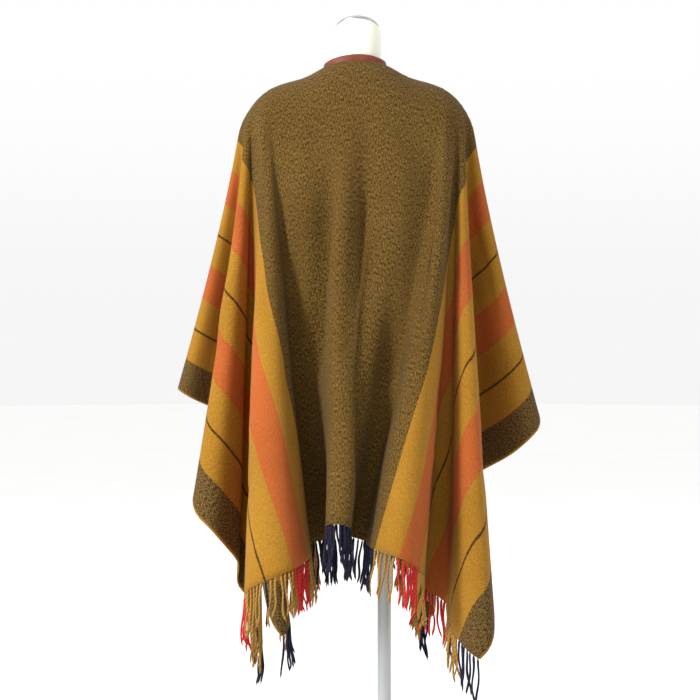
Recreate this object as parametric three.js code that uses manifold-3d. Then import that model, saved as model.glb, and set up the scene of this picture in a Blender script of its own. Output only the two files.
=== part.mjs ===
// Large wrap poncho on a limbless dress form with a pole and a round base.
// Millimetres, Z up, wearer faces -Y. The pole axis is X = 0, Y = 0.
import * as THREE from 'three';
import { mergeVertices } from 'three/addons/utils/BufferGeometryUtils.js';
import Module from 'manifold-3d';

const wasm = await Module();
wasm.setup();

// The blanket, laid flat: u runs along the shoulders, v runs from front to back
const HALF_WIDTH = 745;
const BACK_LENGTH = 872;
const FRONT_LENGTH = 905;
const SLIT_HALF = 8;
const CLOTH_WALL = 2.5;
const NECK = { halfWidth: 56, back: 42, front: 85, u: 4 };

// The garment hangs beside the pole axis
const GARMENT_X = 50;

// How the cloth leaves the shoulder line
const SHOULDER_TIP = 156;
const SHOULDER_Y = 12;
const SHOULDER_Z = 1411;
const SHOULDER_SLOPE = 0.414;
const BEND_START = 62;
const BEND_RADIUS = { back: 82, front: 135, tip: 100 };
const FOLDS_START = 60;
const FOLD_GROWTH = 1.2;
const NAPE_RISE = { height: 15, v: 42, spread: 60 };
const SHOULDER_DIP = { depth: 8.5, u: 92, spread: 40 };

// Fold lines in order round the edge, from one front edge to the other:
// edge of the blanket, place along that edge, plan x and y of the edge there
const FOLDS = [
  ['front', 8, 24, -222],
  ['front', 120, 46, -132],
  ['front', 270, 72, -258],
  ['front', 440, 98, -122],
  ['front', 600, 132, -250],
  ['front', 745, 144, -138],
  ['left', -725, 212, -218],
  ['left', -525, 192, -84],
  ['left', -306, 262, -206],
  ['left', -110, 238, -68],
  ['left', 70, 326, -12],
  ['left', 270, 226, -62],
  ['left', 560, 280, 100],
  ['left', 655, 222, 48],
  ['left', 785, 202, -62],
  ['left', 872, 176, 4],
  ['back', 600, 182, 128],
  ['back', 500, 190, 210],
  ['back', 430, 136, 240],
  ['back', 334, 86, 174],
  ['back', 185, 66, 44],
  ['back', -29, 28, 226],
  ['back', -152, 0, 104],
  ['back', -285, -34, 216],
  ['back', -340, -76, 240],
  ['back', -410, -112, 184],
  ['back', -548, -142, 52],
  ['back', -680, -176, 150],
  ['back', -745, -214, 192],
  ['right', 780, -243, 118],
  ['right', 524, -192, -112],
  ['right', 318, -331, -12],
  ['right', 70, -254, -92],
  ['right', -140, -292, -232],
  ['right', -380, -210, -108],
  ['right', -600, -208, -262],
  ['right', -785, -142, -136],
  ['right', -905, -140, -240],
  ['front', -600, -112, -182],
  ['front', -480, -100, -134],
  ['front', -320, -78, -260],
  ['front', -150, -46, -128],
  ['front', -8, -22, -228],
];

// Body under the cloth: height, half width, half depth, centre y
const REST_SECTIONS = [
  [300, 70, 40, -18],
  [500, 110, 66, -18],
  [760, 145, 92, -18],
  [830, 150, 96, -18],
  [960, 124, 82, -16],
  [1030, 110, 74, -14],
  [1140, 128, 85, -20],
  [1220, 150, 104, -22],
  [1290, 152, 84, -8],
  [1335, 150, 60, 0],
  [1360, 130, 50, 6],
  [1395, 70, 48, 10],
  [1430, 50, 46, 14],
];
const REST_GAP = 6;
const REST_SOFT = 0.1;

const clamp = (value, low, high) => Math.min(Math.max(value, low), high);

// Straight-line reading of one column of a table by its first column
function readTable(table, at, column) {
  const last = table.length - 1;
  if (at <= table[0][0]) return table[0][column];
  if (at >= table[last][0]) return table[last][column];
  const i = table.findIndex((row) => row[0] > at) - 1;
  const part = (at - table[i][0]) / (table[i + 1][0] - table[i][0]);
  return table[i][column] + part * (table[i + 1][column] - table[i][column]);
}

// The edge of the blanket as one length, from the left front edge round the back
const FRONT_RUN = HALF_WIDTH - SLIT_HALF;
const SIDE_RUN = FRONT_LENGTH + BACK_LENGTH;
const EDGE_TURNS = [
  [0, SLIT_HALF, -FRONT_LENGTH],
  [FRONT_RUN, HALF_WIDTH, -FRONT_LENGTH],
  [FRONT_RUN + SIDE_RUN, HALF_WIDTH, BACK_LENGTH],
  [FRONT_RUN + SIDE_RUN + 2 * HALF_WIDTH, -HALF_WIDTH, BACK_LENGTH],
  [FRONT_RUN + 2 * SIDE_RUN + 2 * HALF_WIDTH, -HALF_WIDTH, -FRONT_LENGTH],
  [2 * FRONT_RUN + 2 * SIDE_RUN + 2 * HALF_WIDTH, -SLIT_HALF, -FRONT_LENGTH],
];

function runToEdge(edge, at) {
  if (edge === 'front' && at > 0) return at - SLIT_HALF;
  if (edge === 'left') return EDGE_TURNS[1][0] + FRONT_LENGTH + at;
  if (edge === 'back') return EDGE_TURNS[2][0] + HALF_WIDTH - at;
  if (edge === 'right') return EDGE_TURNS[3][0] + BACK_LENGTH - at;
  return EDGE_TURNS[4][0] + HALF_WIDTH + at;
}

function edgeOf(u, v) {
  if (HALF_WIDTH - Math.abs(u) < 0.001) return u > 0 ? ['left', v] : ['right', v];
  return v > 0 ? ['back', u] : ['front', u];
}

// Smooth plan curve of the edge through the fold lines
const foldRun = FOLDS.map(([edge, at]) => runToEdge(edge, at));
const foldPlan = FOLDS.map((row) => new THREE.Vector2(row[2], row[3]));
const foldDirection = foldPlan.map((point, i) => {
  const before = foldPlan[Math.max(i - 1, 0)];
  const after = foldPlan[Math.min(i + 1, foldPlan.length - 1)];
  const arrive = point.clone().sub(before).normalize();
  const leave = after.clone().sub(point).normalize();
  const along = arrive.clone().add(leave);
  if (i === 0 || i === foldPlan.length - 1 || along.length() >= 1.2) return along.normalize();
  const axis = point.clone().sub(before.clone().add(after).multiplyScalar(0.5)).normalize();
  const across = new THREE.Vector2(-axis.y, axis.x);
  return across.dot(after.clone().sub(before)) > 0 ? across : across.negate();
});

function edgePlan(run) {
  const last = foldRun.length - 1;
  const at = clamp(run, foldRun[0], foldRun[last]);
  const i = at >= foldRun[last] ? last - 1 : foldRun.findIndex((value) => value > at) - 1;
  const width = foldRun[i + 1] - foldRun[i];
  const f = (at - foldRun[i]) / width;
  const from = foldPlan[i];
  const to = foldPlan[i + 1];
  const pull = Math.min(width, 1.25 * from.distanceTo(to));
  return new THREE.Vector2()
    .addScaledVector(from, 2 * f ** 3 - 3 * f ** 2 + 1)
    .addScaledVector(foldDirection[i], (f ** 3 - 2 * f ** 2 + f) * pull)
    .addScaledVector(to, -2 * f ** 3 + 3 * f ** 2)
    .addScaledVector(foldDirection[i + 1], (f ** 3 - f ** 2) * pull);
}

// One point of the blanket laid flat, carried to where it hangs.
// Each straight line of cloth from the shoulder line to the edge keeps its length.
function drape(u, v) {
  const tipU = clamp(u, -SHOULDER_TIP, SHOULDER_TIP);
  const length = Math.hypot(u - tipU, v);
  const outward = length > 1e-6 ? (u - tipU) / length : 0;
  const backward = length > 1e-6 ? v / length : 1;
  const toSide = (HALF_WIDTH - Math.abs(tipU)) / Math.max(Math.abs(outward), 1e-9);
  const toHem = (v >= 0 ? BACK_LENGTH : FRONT_LENGTH) / Math.max(Math.abs(backward), 1e-9);
  const full = Math.min(toSide, toHem);
  const edge = edgePlan(runToEdge(...edgeOf(tipU + outward * full, backward * full)));

  const past = Math.abs(tipU) - BEND_START;
  const soft = (past + Math.hypot(past, 25)) / 2;
  const startX = Math.sign(tipU) * (Math.abs(tipU) - 0.09 * soft);
  const dip = Math.exp(-(((Math.abs(tipU) - SHOULDER_DIP.u) / SHOULDER_DIP.spread) ** 2));
  const startZ = SHOULDER_Z - SHOULDER_SLOPE * soft - SHOULDER_DIP.depth * dip;

  const side = outward ** 2;
  const middle = backward >= 0 ? BEND_RADIUS.back : BEND_RADIUS.front;
  const radius = middle * (1 - side) + BEND_RADIUS.tip * side;
  const startAngle = Math.asin(SHOULDER_SLOPE * Math.abs(outward));
  const reach = (s) => radius
    * (Math.sin(Math.min(startAngle + s / radius, Math.PI / 2)) - Math.sin(startAngle));
  const shift = edge.clone()
    .sub(new THREE.Vector2(startX + reach(1e6) * outward, SHOULDER_Y + reach(1e6) * backward));
  const planAt = (s) => {
    const grown = clamp((s - FOLDS_START) / (full - FOLDS_START), 0, 1) ** FOLD_GROWTH;
    return new THREE.Vector2(reach(s) * outward, reach(s) * backward)
      .addScaledVector(shift, grown);
  };

  const steps = 64;
  let drop = 0;
  let before = planAt(0);
  for (let k = 1; k < steps; k += 1) {
    const here = planAt((length * k) / (steps - 1));
    const piece = length / (steps - 1);
    drop += Math.sqrt(Math.max(piece ** 2 - here.distanceToSquared(before), 0));
    before = here;
  }
  const nape = Math.exp(-(u ** 2 + (v - NAPE_RISE.v) ** 2) / NAPE_RISE.spread ** 2);
  const z = startZ - drop + NAPE_RISE.height * nape;
  return restOnBody(startX + before.x, SHOULDER_Y + before.y, z);
}

// The cloth is held a few millimetres off the body, with a soft change
function restOnBody(x, y, z) {
  const halfWidth = readTable(REST_SECTIONS, z, 1) + REST_GAP;
  const halfDepth = readTable(REST_SECTIONS, z, 2) + REST_GAP;
  const centreY = readTable(REST_SECTIONS, z, 3);
  const r = Math.hypot(x / halfWidth, (y - centreY) / halfDepth);
  const pushed = (r + 1 + Math.hypot(r - 1, REST_SOFT)) / 2;
  const amount = clamp((1385 - z) / 60, 0, 1);
  const grow = 1 + (pushed / Math.max(r, 0.05) - 1) * (z < 1370 ? amount : 0);
  return new THREE.Vector3(GARMENT_X + x * grow, centreY + (y - centreY) * grow, z);
}

// Places across the cloth, closer where the folds are narrow
const COLUMN_STEP = 53;
const columnRuns = [];
for (let i = 0; i < foldRun.length - 1; i += 1) {
  const width = foldRun[i + 1] - foldRun[i];
  const parts = Math.max(2, Math.round(width / COLUMN_STEP));
  for (let k = 0; k < parts; k += 1) columnRuns.push(foldRun[i] + (width * k) / parts);
}
columnRuns.push(foldRun[foldRun.length - 1]);

const YOKE_REACH = 118;
const YOKE_ROWS = [0, 0.14, 0.42, 0.7];
const SKIRT_ROWS = 13;
const SKIRT_GROWTH = 1.3;

// Flat points of one column, from the neckline to the edge
function flatColumn(run) {
  const edgeU = readTable(EDGE_TURNS, run, 1);
  const edgeV = readTable(EDGE_TURNS, run, 2);
  const tipU = clamp(edgeU, -SHOULDER_TIP, SHOULDER_TIP);
  const full = Math.hypot(edgeU - tipU, edgeV);
  const du = (edgeU - tipU) / full;
  const dv = edgeV / full;
  const yoke = [tipU + du * YOKE_REACH, dv * YOKE_REACH];
  const angle = Math.atan2(yoke[1], yoke[0]);
  const depth = yoke[1] > 0 ? NECK.back : NECK.front;
  const reach = 1 / Math.hypot(Math.cos(angle) / NECK.halfWidth, Math.sin(angle) / depth);
  const neck = [NECK.u + reach * Math.cos(angle), reach * Math.sin(angle)];
  const points = YOKE_ROWS.map((part) => neck.map((value, k) => value + part * (yoke[k] - value)));
  for (let row = 0; row < SKIRT_ROWS; row += 1) {
    const s = YOKE_REACH + (full - YOKE_REACH) * (row / (SKIRT_ROWS - 1)) ** SKIRT_GROWTH;
    points.push([tipU + du * s, dv * s]);
  }
  return points;
}

// Middle surface of the cloth as columns of points
const clothGrid = columnRuns.map((run) => flatColumn(run).map(([u, v]) => drape(u, v)));

function gridNormal(grid, i, j) {
  const left = grid[Math.max(i - 1, 0)][j];
  const right = grid[Math.min(i + 1, grid.length - 1)][j];
  const above = grid[i][Math.max(j - 1, 0)];
  const below = grid[i][Math.min(j + 1, grid[i].length - 1)];
  return right.clone().sub(left).cross(below.clone().sub(above)).normalize();
}

function geometryOf(points, triangles) {
  const geometry = new THREE.BufferGeometry();
  const flat = points.flatMap((p) => [p.x, p.y, p.z]);
  geometry.setAttribute('position', new THREE.Float32BufferAttribute(flat, 3));
  geometry.setIndex(triangles);
  return geometry;
}

// Turns a closed body so that its faces look outward
function outward(geometry) {
  const p = geometry.getAttribute('position');
  const index = geometry.getIndex();
  const corner = [0, 1, 2].map(() => new THREE.Vector3());
  let volume = 0;
  for (let i = 0; i < index.count; i += 3) {
    corner.forEach((c, k) => c.fromBufferAttribute(p, index.getX(i + k)));
    volume += corner[0].dot(corner[1].clone().cross(corner[2]));
  }
  if (volume < 0) {
    for (let i = 0; i < index.count; i += 3) {
      const kept = index.getX(i);
      index.setX(i, index.getX(i + 1));
      index.setX(i + 1, kept);
    }
  }
  return geometry;
}

// Closed wall of even thickness on both sides of a grid of points
function wallGeometry(grid, thickness, normalAt = (i, j) => gridNormal(grid, i, j)) {
  const columns = grid.length;
  const rows = grid[0].length;
  const points = [];
  for (const side of [1, -1]) {
    grid.forEach((column, i) => column.forEach((point, j) => {
      points.push(point.clone().addScaledVector(normalAt(i, j), (side * thickness) / 2));
    }));
  }
  const at = (side, i, j) => side * columns * rows + i * rows + j;
  const triangles = [];
  const quad = (a, b, c, d) => triangles.push(a, b, c, a, c, d);
  for (let i = 0; i < columns - 1; i += 1) {
    for (let j = 0; j < rows - 1; j += 1) {
      quad(at(0, i, j), at(0, i + 1, j), at(0, i + 1, j + 1), at(0, i, j + 1));
      quad(at(1, i, j), at(1, i, j + 1), at(1, i + 1, j + 1), at(1, i + 1, j));
    }
    quad(at(0, i, 0), at(1, i, 0), at(1, i + 1, 0), at(0, i + 1, 0));
    const j = rows - 1;
    quad(at(0, i, j), at(0, i + 1, j), at(1, i + 1, j), at(1, i, j));
  }
  for (let j = 0; j < rows - 1; j += 1) {
    quad(at(0, 0, j), at(0, 0, j + 1), at(1, 0, j + 1), at(1, 0, j));
    const i = columns - 1;
    quad(at(0, i, j), at(1, i, j), at(1, i, j + 1), at(0, i, j + 1));
  }
  return outward(geometryOf(points, triangles));
}

// Closed body from rings of points, with flat ends
function ringGeometry(rings) {
  const count = rings[0].length;
  const points = rings.flat();
  const triangles = [];
  for (let r = 0; r < rings.length - 1; r += 1) {
    for (let k = 0; k < count; k += 1) {
      const next = (k + 1) % count;
      const [a, b] = [r * count + k, r * count + next];
      const [c, d] = [(r + 1) * count + next, (r + 1) * count + k];
      triangles.push(a, b, c, a, c, d);
    }
  }
  for (let k = 1; k < count - 1; k += 1) {
    const top = (rings.length - 1) * count;
    triangles.push(0, k + 1, k, top, top + k, top + k + 1);
  }
  return outward(geometryOf(points, triangles));
}

function toManifold(geometry) {
  const merged = mergeVertices(geometry, 1e-5);
  return new wasm.Manifold(new wasm.Mesh({
    numProp: 3,
    vertProperties: new Float32Array(merged.getAttribute('position').array),
    triVerts: new Uint32Array(merged.getIndex().array),
  }));
}

function fromManifold(solid) {
  const mesh = solid.getMesh();
  const geometry = new THREE.BufferGeometry();
  geometry.setAttribute('position', new THREE.BufferAttribute(mesh.vertProperties, 3));
  geometry.setIndex(new THREE.BufferAttribute(mesh.triVerts, 1));
  return geometry;
}

// Fringe: a narrow strip along a cut end of the cloth, with hanging strands
const SEAM_GAP = 0.35;
const HEM_GAP = 0.8;
const STRIP_HEIGHT = 3.6;
const STRAND = {
  spacing: 15, rootRadius: 0.8, radius: 2, neck: 9, length: 86, sides: 3, gap: 0.4,
};
const clothSolid = toManifold(wallGeometry(clothGrid, CLOTH_WALL));

// Cut end of the cloth with its downward direction, on the same flat facets as the cloth
function hemPoint(run) {
  const last = columnRuns.length - 1;
  const after = run >= columnRuns[last] ? last : columnRuns.findIndex((value) => value > run);
  const ends = [after - 1, after].map((i) => {
    const column = clothGrid[i];
    const edge = column[column.length - 1];
    return { edge, down: edge.clone().sub(column[column.length - 2]).normalize() };
  });
  const part = (run - columnRuns[after - 1]) / (columnRuns[after] - columnRuns[after - 1]);
  const edge = ends[0].edge.clone().lerp(ends[1].edge, part);
  return { edge, down: ends[0].down.clone().lerp(ends[1].down, part) };
}

function strandGeometry(run, number) {
  const { edge, down } = hemPoint(run);
  const root = edge.clone().addScaledVector(down, HEM_GAP + STRIP_HEIGHT - 1);
  const neck = root.clone().addScaledVector(down, STRAND.neck);
  const sway = new THREE.Vector3(Math.sin(number * 2.4), Math.cos(number * 3.1), 0);
  const fall = new THREE.Vector3(down.x * 20, down.y * 20, STRAND.neck - STRAND.length);
  const end = neck.clone().add(fall).addScaledVector(sway, 2);
  const spine = [[root, STRAND.rootRadius], [neck, STRAND.radius], [end, STRAND.radius]];
  const rings = spine.map(([centre, radius]) => Array.from({ length: STRAND.sides }, (_, k) => {
    const turn = number + (2 * Math.PI * k) / STRAND.sides;
    const side = new THREE.Vector3(Math.cos(turn), Math.sin(turn), 0);
    return centre.clone().addScaledVector(side, radius);
  }));
  return ringGeometry(rings);
}

function fringeGeometry(fromRun, toRun) {
  const width = toRun - fromRun;
  const columns = columnRuns.flatMap((run, i) => (run > fromRun - 1 && run < toRun + 1 ? [i] : []));
  const grid = columns.map((i) => {
    const { edge, down } = hemPoint(columnRuns[i]);
    return [HEM_GAP, HEM_GAP + STRIP_HEIGHT].map((s) => edge.clone().addScaledVector(down, s));
  });
  const lastRow = clothGrid[0].length - 1;
  const strip = wallGeometry(grid, CLOTH_WALL, (i) => gridNormal(clothGrid, columns[i], lastRow));
  const count = Math.floor((width - 8) / STRAND.spacing) + 1;
  const first = fromRun + (width - (count - 1) * STRAND.spacing) / 2;
  const strands = [];
  for (let n = 0; n < count; n += 1) {
    const strand = toManifold(strandGeometry(first + n * STRAND.spacing, n));
    const isFree = [clothSolid, ...strands].every((other) => strand.minGap(other, 1) > STRAND.gap);
    if (isFree) strands.push(strand);
  }
  return fromManifold(wasm.Manifold.union([toManifold(strip), ...strands]).simplify(0.02));
}

// Leather binding that stands round the neckline
const BINDING = { height: 12, thickness: 3 };

function bindingGeometry() {
  const rings = clothGrid.map(([edge, inner], i) => {
    const inward = edge.clone().sub(inner).normalize();
    const up = inward.multiplyScalar(0.2).add(new THREE.Vector3(0, 0, 1)).normalize();
    const along = clothGrid[Math.min(i + 1, clothGrid.length - 1)][0].clone()
      .sub(clothGrid[Math.max(i - 1, 0)][0]).normalize();
    const across = along.clone().cross(up).normalize();
    const half = BINDING.thickness / 2;
    const profile = [
      [SEAM_GAP + 1.1, -half], [SEAM_GAP + 1.1, half],
      [BINDING.height, half], [BINDING.height, -half],
    ];
    return profile.map(([rise, out]) => edge.clone()
      .addScaledVector(up, rise).addScaledVector(across, out));
  });
  return ringGeometry(rings.filter((_, i) => i % 3 === 0 || i === rings.length - 1));
}

// Limbless form: height, half width, half depth, centre y
const FORM_SECTIONS = [
  [760, 140, 86, -18],
  [764, 144, 90, -18],
  [800, 148, 94, -18],
  [835, 149, 95, -18],
  [880, 144, 92, -18],
  [930, 130, 85, -17],
  [985, 115, 76, -15],
  [1030, 109, 72, -14],
  [1080, 114, 75, -16],
  [1140, 127, 83, -20],
  [1185, 140, 97, -23],
  [1220, 148, 102, -22],
  [1255, 151, 95, -15],
  [1292, 154, 84, -8],
  [1324, 154, 70, -2],
  [1348, 150, 60, 2],
  [1359.5, 139, 54, 5],
  [1368, 119, 50, 5],
  [1377, 96, 48, 5],
  [1388, 73, 45, 4],
  [1401, 52, 43, 3],
  [1414, 44, 42, 2],
  [1440, 43, 43, 2],
];
const FORM_SIDES = 26;
const NECK_TOP = { z: 1472, radius: 43, y: 2, slope: 0.45 };
const CAP = { thickness: 10, radius: 41.5, taper: 8 };

function ellipse(halfWidth, halfDepth, centreY, zAt) {
  return Array.from({ length: FORM_SIDES }, (_, k) => {
    const turn = (2 * Math.PI * k) / FORM_SIDES;
    const y = centreY + halfDepth * Math.sin(turn);
    return new THREE.Vector3(GARMENT_X + halfWidth * Math.cos(turn), y, zAt(y));
  });
}

const slantedTop = (lift) => (y) => NECK_TOP.z + lift + NECK_TOP.slope * (y - NECK_TOP.y);

function formGeometry() {
  const rings = FORM_SECTIONS.map(([z, wide, deep, y]) => ellipse(wide, deep, y, () => z));
  rings.push(ellipse(NECK_TOP.radius, NECK_TOP.radius, NECK_TOP.y, slantedTop(0)));
  return ringGeometry(rings);
}

function capGeometry() {
  const ring = (radius, lift) => ellipse(radius, radius, NECK_TOP.y, slantedTop(lift));
  return ringGeometry([
    ring(CAP.radius, SEAM_GAP),
    ring(CAP.radius - CAP.taper / 3, SEAM_GAP + CAP.thickness / 2),
    ring(CAP.radius - CAP.taper, SEAM_GAP + CAP.thickness),
  ]);
}

// Stand: pole, flange under the form, round base with a collar
const POLE = { radius: 12.5, sides: 24 };
const FLANGE = { radius: 40, thickness: 8 };
const BASE = { radius: 158, thickness: 8, bevel: 2, collarRadius: 24, collarTop: 38 };
const FORM_BOTTOM = FORM_SECTIONS[0][0];

function turned(profile, sides) {
  const rings = [];
  for (const [radius, z] of profile) {
    rings.push(Array.from({ length: sides }, (_, k) => {
      const turn = (2 * Math.PI * k) / sides;
      return new THREE.Vector3(radius * Math.cos(turn), radius * Math.sin(turn), z);
    }));
  }
  return ringGeometry(rings);
}

function baseGeometry() {
  const disc = turned([
    [BASE.radius, 0],
    [BASE.radius, BASE.thickness - BASE.bevel],
    [BASE.radius - BASE.bevel, BASE.thickness],
  ], 44);
  const collar = turned([[BASE.collarRadius, 1], [BASE.collarRadius, BASE.collarTop]], 32);
  const socket = turned([
    [POLE.radius + SEAM_GAP, BASE.thickness],
    [POLE.radius + SEAM_GAP, BASE.collarTop + 1],
  ], POLE.sides);
  return fromManifold(toManifold(disc).add(toManifold(collar)).subtract(toManifold(socket)));
}

const flangeTop = FORM_BOTTOM - SEAM_GAP;
const flangeBottom = flangeTop - FLANGE.thickness;

const group = new THREE.Group();
group.name = 'poncho_on_stand';

function addNode(name, geometry, colour, roughness, metalness) {
  const material = new THREE.MeshStandardMaterial({ color: colour, roughness, metalness });
  const mesh = new THREE.Mesh(geometry, material);
  mesh.name = name;
  group.add(mesh);
}

const backFrom = EDGE_TURNS[2][0];
const backTo = EDGE_TURNS[3][0];
const rightFrom = EDGE_TURNS[4][0];
const rightTo = EDGE_TURNS[5][0];

addNode('poncho_cloth', fromManifold(clothSolid), 0x7d5f32, 0.95, 0);
addNode('neck_binding', bindingGeometry(), 0xa8593a, 0.5, 0);
addNode('fringe_back', fringeGeometry(backFrom, backTo), 0xc38c2d, 0.95, 0);
addNode('fringe_front_left', fringeGeometry(0, EDGE_TURNS[1][0]), 0xc38c2d, 0.95, 0);
addNode('fringe_front_right', fringeGeometry(rightFrom, rightTo), 0xc38c2d, 0.95, 0);
addNode('dress_form', formGeometry(), 0xf6f4e2, 0.7, 0);
addNode('neck_cap', capGeometry(), 0xb8babc, 0.3, 1);
addNode('pole_flange', turned([
  [FLANGE.radius, flangeBottom],
  [FLANGE.radius, flangeTop],
], 32), 0xb0b2b4, 0.35, 1);
addNode('stand_pole', turned([
  [POLE.radius, BASE.thickness + SEAM_GAP],
  [POLE.radius, flangeBottom - SEAM_GAP],
], POLE.sides), 0xa9abac, 0.35, 1);
addNode('stand_base', baseGeometry(), 0xb0b2b4, 0.4, 1);

export default group;
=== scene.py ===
# %% [markdown]
# A wrap poncho on a dress form, seen from behind. The CAD model gives every
# piece its place and its main folds. Here each piece gets the finer surface and
# the finish that a camera would see: wool with its woven bands, twisted fringe,
# a leather neck binding, a smooth cream form and a metal stand.
# The sizes of pieces are in millimetres, and one helper turns them into metres.
# Finishes, camera and lights are in metres.

# %% Load the frame
import math

import bmesh
import bpy
import numpy as np
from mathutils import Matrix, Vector


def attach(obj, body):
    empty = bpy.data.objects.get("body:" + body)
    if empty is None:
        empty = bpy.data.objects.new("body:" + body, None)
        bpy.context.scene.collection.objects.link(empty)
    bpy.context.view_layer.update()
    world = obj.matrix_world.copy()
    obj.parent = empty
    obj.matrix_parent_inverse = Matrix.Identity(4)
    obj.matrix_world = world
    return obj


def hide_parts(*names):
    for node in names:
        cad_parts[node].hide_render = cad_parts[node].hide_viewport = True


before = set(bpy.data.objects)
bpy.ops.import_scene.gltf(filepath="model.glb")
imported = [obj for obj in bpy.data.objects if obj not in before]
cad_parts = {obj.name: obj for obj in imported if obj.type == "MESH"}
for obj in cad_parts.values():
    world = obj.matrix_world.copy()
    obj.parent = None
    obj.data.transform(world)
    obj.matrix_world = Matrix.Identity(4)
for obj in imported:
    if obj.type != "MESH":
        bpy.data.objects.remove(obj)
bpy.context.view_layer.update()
MM = 0.001
print("nodes in the frame:", sorted(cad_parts))

# %% [markdown]
# Every new piece is a patch of surface: a grid of points worked out by a
# formula. The grid could be drawn face by face, but whole arrays are quicker
# and keep the formula in one place. Each corner of a face also keeps two
# numbers, its place on the piece, and the finishes read them later.

# %% Turn grids of points into a mesh
def surface(name, points, place):
    """Quads between neighbours of one or more grids of points, in millimetres.
    points ends in (rows, columns, 3) and place in (rows, columns, 2)."""
    rows, columns = points.shape[-3:-1]
    index = np.arange(points[..., 0].size).reshape(-1, rows, columns)
    corners = [index[:, :-1, :-1], index[:, 1:, :-1], index[:, 1:, 1:], index[:, :-1, 1:]]
    faces = np.stack(corners, -1).reshape(-1, 4)
    mesh = bpy.data.meshes.new(name)
    mesh.from_pydata((points.reshape(-1, 3) * MM).tolist(), [], faces.tolist())
    layer = mesh.uv_layers.new(name="place")
    layer.data.foreach_set("uv", place.reshape(-1, 2)[faces.ravel()].ravel())
    close_seams(mesh)
    mesh.polygons.foreach_set("use_smooth", np.ones(len(mesh.polygons), bool))
    piece = bpy.data.objects.new(name, mesh)
    bpy.context.scene.collection.objects.link(piece)
    print(f"{name}: {len(mesh.polygons)} faces")
    return piece


def close_seams(mesh):
    """Merges points that lie together, which closes tubes and poles."""
    shell = bmesh.new()
    shell.from_mesh(mesh)
    bmesh.ops.remove_doubles(shell, verts=shell.verts, dist=1e-6)
    shell.to_mesh(mesh)
    shell.free()


def between(table, at, column):
    """Straight-line reading of a table by its first column."""
    rows = np.array(table, float)
    return np.interp(at, rows[:, 0], rows[:, column])


def cubic(f, start, end, leave, arrive):
    """Point at share f of the curve with these ends and these slopes there."""
    ends = (2 * f**3 - 3 * f**2 + 1) * start + (3 * f**2 - 2 * f**3) * end
    return ends + (f**3 - 2 * f**2 + f) * leave + (f**3 - f**2) * arrive


def unit(vectors):
    """The same directions with length 1."""
    return vectors / np.linalg.norm(vectors, axis=-1, keepdims=True)


# %% [markdown]
# The blanket is one rectangle of wool with a neck hole and a slit down the
# front. Laid flat, u runs along the shoulders and v from front to back. It
# hangs from the shoulder line, and from each shoulder tip the cloth fans out.
# A cloth simulation could find such folds by itself, but not the folds that
# the real garment shows, so the folds are stated as a table: where each fold
# line meets the edge of the blanket, and where that point hangs in plan.

# %% Blanket sizes and fold lines
HALF_WIDTH = 745
BACK_LENGTH = 872
FRONT_LENGTH = 905
SLIT_HALF = 8
CLOTH_WALL = 2.5
NECK = {"half_width": 56, "back": 42, "front": 85, "u": 4}
GARMENT_X = 50
SHOULDER_TIP = 156
SHOULDER_Y = 12
SHOULDER_Z = 1411
SHOULDER_SLOPE = 0.414
SHOULDER_SHORTENING = 0.09
BEND_START, BEND_SOFTNESS = 62, 25
DIP_DEPTH, DIP_U, DIP_SPREAD = 8.5, 92, 40
BEND_BACK, BEND_FRONT, BEND_TIP = 82, 135, 100
FOLDS_START = 60
FOLD_GROWTH = 1.2
NAPE_RISE, NAPE_V, NAPE_SPREAD = 15, 42, 60

# edge, place along it, plan x, plan y
FOLDS = [
    ("front", 8, 24, -222),
    ("front", 120, 46, -132),
    ("front", 270, 72, -258),
    ("front", 440, 98, -122),
    ("front", 600, 132, -250),
    ("front", 745, 144, -138),
    ("left", -725, 212, -218),
    ("left", -525, 192, -84),
    ("left", -306, 262, -206),
    ("left", -110, 238, -68),
    ("left", 70, 326, -12),
    ("left", 270, 226, -62),
    ("left", 560, 280, 100),
    ("left", 655, 222, 48),
    ("left", 785, 202, -62),
    ("left", 872, 176, 4),
    ("back", 600, 182, 128),
    ("back", 500, 190, 210),
    ("back", 430, 136, 240),
    ("back", 334, 86, 174),
    ("back", 185, 66, 44),
    ("back", -29, 28, 226),
    ("back", -152, 0, 104),
    ("back", -285, -34, 216),
    ("back", -340, -76, 240),
    ("back", -410, -112, 184),
    ("back", -548, -142, 52),
    ("back", -680, -176, 150),
    ("back", -745, -214, 192),
    ("right", 780, -243, 118),
    ("right", 524, -192, -112),
    ("right", 318, -331, -12),
    ("right", 70, -254, -92),
    ("right", -140, -292, -232),
    ("right", -380, -210, -108),
    ("right", -600, -208, -262),
    ("right", -785, -142, -136),
    ("right", -905, -140, -240),
    ("front", -600, -112, -182),
    ("front", -480, -100, -134),
    ("front", -320, -78, -260),
    ("front", -150, -46, -128),
    ("front", -8, -22, -228),
]

# height, half width, half depth and centre y of what the cloth rests against
REST_SECTIONS = [
    (300, 70, 40, -18),
    (500, 110, 66, -18),
    (760, 145, 92, -18),
    (830, 150, 96, -18),
    (960, 124, 82, -16),
    (1030, 110, 74, -14),
    (1140, 128, 85, -20),
    (1220, 150, 104, -22),
    (1290, 152, 84, -8),
    (1335, 150, 60, 0),
    (1360, 130, 50, 6),
    (1395, 70, 48, 10),
    (1430, 50, 46, 14),
]
# The push outward starts softly and fades away towards the shoulders
REST_GAP = 6
REST_SOFTNESS = 0.1
REST_CORE = 0.05
REST_TOP = 1370
REST_FADE_TOP, REST_FADE = 1385, 60

# %% [markdown]
# The edge of the blanket is measured as one length, from the left front edge
# round the back to the right one. A smooth curve through the fold table then
# says where each point of the edge hangs in plan.

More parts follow.
